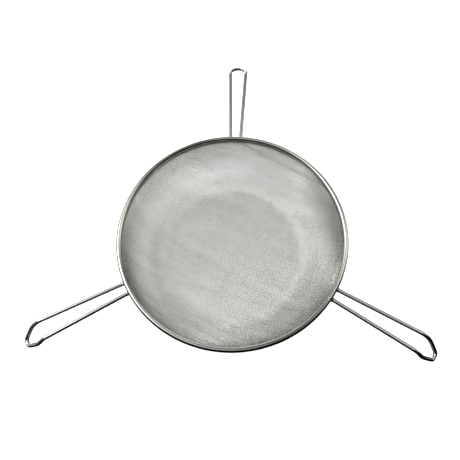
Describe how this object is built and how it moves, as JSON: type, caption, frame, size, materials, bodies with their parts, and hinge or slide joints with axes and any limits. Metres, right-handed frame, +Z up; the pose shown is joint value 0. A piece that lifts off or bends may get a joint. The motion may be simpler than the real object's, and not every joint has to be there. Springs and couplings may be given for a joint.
{
  "type": "double sieve strainer",
  "caption": "Round dished wire-mesh strainer with a second, finer mesh dish under it, a rolled steel rim and three long wire-loop handles that turn down into hooks.",
  "frame": {"origin": "centre of the flat underside of the lower dish, on the strainer's vertical axis", "axes": "+Z up, out of the open dish; +Y along handle_1; the other two handles are at 210 and 330 degrees"},
  "size_m": [0.4034, 0.3512, 0.0607],
  "materials": {
    "coarse_mesh": "woven wire, bright",
    "fine_mesh": "fine woven wire",
    "rim_steel": "rolled bright sheet",
    "wire_steel": "polished round wire"
  },
  "bodies": {
    "root": {"coarse_sieve": "coarse_mesh", "fine_sieve": "fine_mesh", "rim_binding": "rim_steel", "rim_hoop": "wire_steel", "handle_1": "wire_steel", "handle_2": "wire_steel", "handle_3": "wire_steel"}
  },
  "joints": []
}
